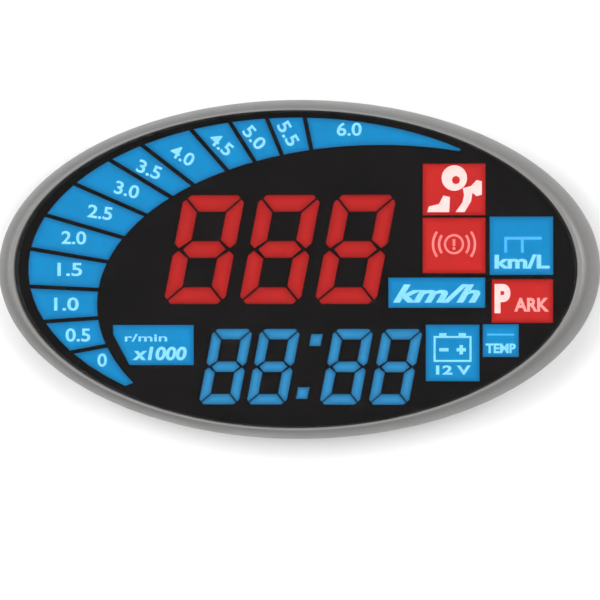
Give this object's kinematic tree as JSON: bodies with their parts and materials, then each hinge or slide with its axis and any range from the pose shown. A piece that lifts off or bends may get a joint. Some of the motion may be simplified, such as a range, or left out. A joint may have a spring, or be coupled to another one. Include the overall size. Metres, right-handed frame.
{
  "type": "oval digital speed display",
  "caption": "Oval dashboard speed display with red speed digits, a blue clock, a crescent bar gauge, symbol tiles and a sprung thumb rocker.",
  "frame": {"origin": "centre of the footprint, on the surface the four feet stand on", "axes": "+X to the reader's right along the long way of the oval, +Y to the top of the digits, +Z out of the face"},
  "size_m": [0.15, 0.084, 0.018],
  "materials": {
    "satin_trim": "satin silver paint over moulded plastic",
    "case_black": "fine moulded grain",
    "clear_window": "polished clear acrylic",
    "adhesive": "black foam tape",
    "mask_black": "printed matt black",
    "lit_red": "red diffuser, lit from behind",
    "lit_blue": "blue diffuser, lit from behind",
    "reflector_white": "plain white moulding",
    "circuit_board": "green solder mask",
    "chip_black": "moulded epoxy",
    "bare_metal": "plain drawn metal",
    "screw_steel": "zinc plated",
    "slider_white": "natural nylon",
    "foot_rubber": "matt rubber"
  },
  "bodies": {
    "case": {"trim_ring": "satin_trim", "upper_shell": "case_black", "lower_shell": "case_black", "front_lens": "clear_window", "lens_adhesive": "adhesive", "face_mask": "mask_black", "speed_digit_1": "lit_red", "speed_digit_2": "lit_red", "speed_digit_3": "lit_red", "seat_belt_tile": "lit_red", "brake_tile": "lit_red", "parking_tile": "lit_red", "clock_digit_1": "lit_blue", "clock_digit_2": "lit_blue", "clock_digit_3": "lit_blue", "clock_digit_4": "lit_blue", "clock_colon": "lit_blue", "gauge_bar_01": "lit_blue", "gauge_bar_02": "lit_blue", "gauge_bar_03": "lit_blue", "gauge_bar_04": "lit_blue", "gauge_bar_05": "lit_blue", "gauge_bar_06": "lit_blue", "gauge_bar_07": "lit_blue", "gauge_bar_08": "lit_blue", "gauge_bar_09": "lit_blue", "gauge_bar_10": "lit_blue", "gauge_bar_11": "lit_blue", "gauge_bar_12": "lit_blue", "gauge_bar_13": "lit_blue", "fuel_rate_tile": "lit_blue", "speed_unit_tile": "lit_blue", "battery_tile": "lit_blue", "temperature_tile": "lit_blue", "engine_speed_tile": "lit_blue", "reflector_block": "reflector_white", "display_board": "circuit_board", "main_board": "circuit_board", "microcontroller": "chip_black", "led_driver_1": "chip_black", "led_driver_2": "chip_black", "buzzer": "chip_black", "board_link_header": "chip_black", "power_inductor": "chip_black", "switch_base": "chip_black", "quartz_crystal": "bare_metal", "smoothing_capacitor": "bare_metal", "usb_socket": "bare_metal", "case_screw_1": "screw_steel", "case_screw_2": "screw_steel", "case_screw_3": "screw_steel", "case_screw_4": "screw_steel", "board_screw_1": "screw_steel", "board_screw_2": "screw_steel", "rubber_foot_1": "foot_rubber", "rubber_foot_2": "foot_rubber", "rubber_foot_3": "foot_rubber", "rubber_foot_4": "foot_rubber"},
    "switch_slider": {"switch_carriage": "slider_white"},
    "rocker": {"thumb_rocker": "case_black"}
  },
  "joints": [
    {"name": "rocker_press", "type": "slide", "parent": "case", "child": "switch_slider", "axis": [-1, 0, 0], "range_m": [0, 0.0006], "stiffness_N_per_m": 1500},
    {"name": "rocker_tilt", "type": "hinge", "parent": "switch_slider", "child": "rocker", "pos_m": [0.065, 0, 0.006], "axis": [0, 0, 1], "range_deg": [-12, 12], "stiffness_Nm_per_rad": 0.05}
  ]
}
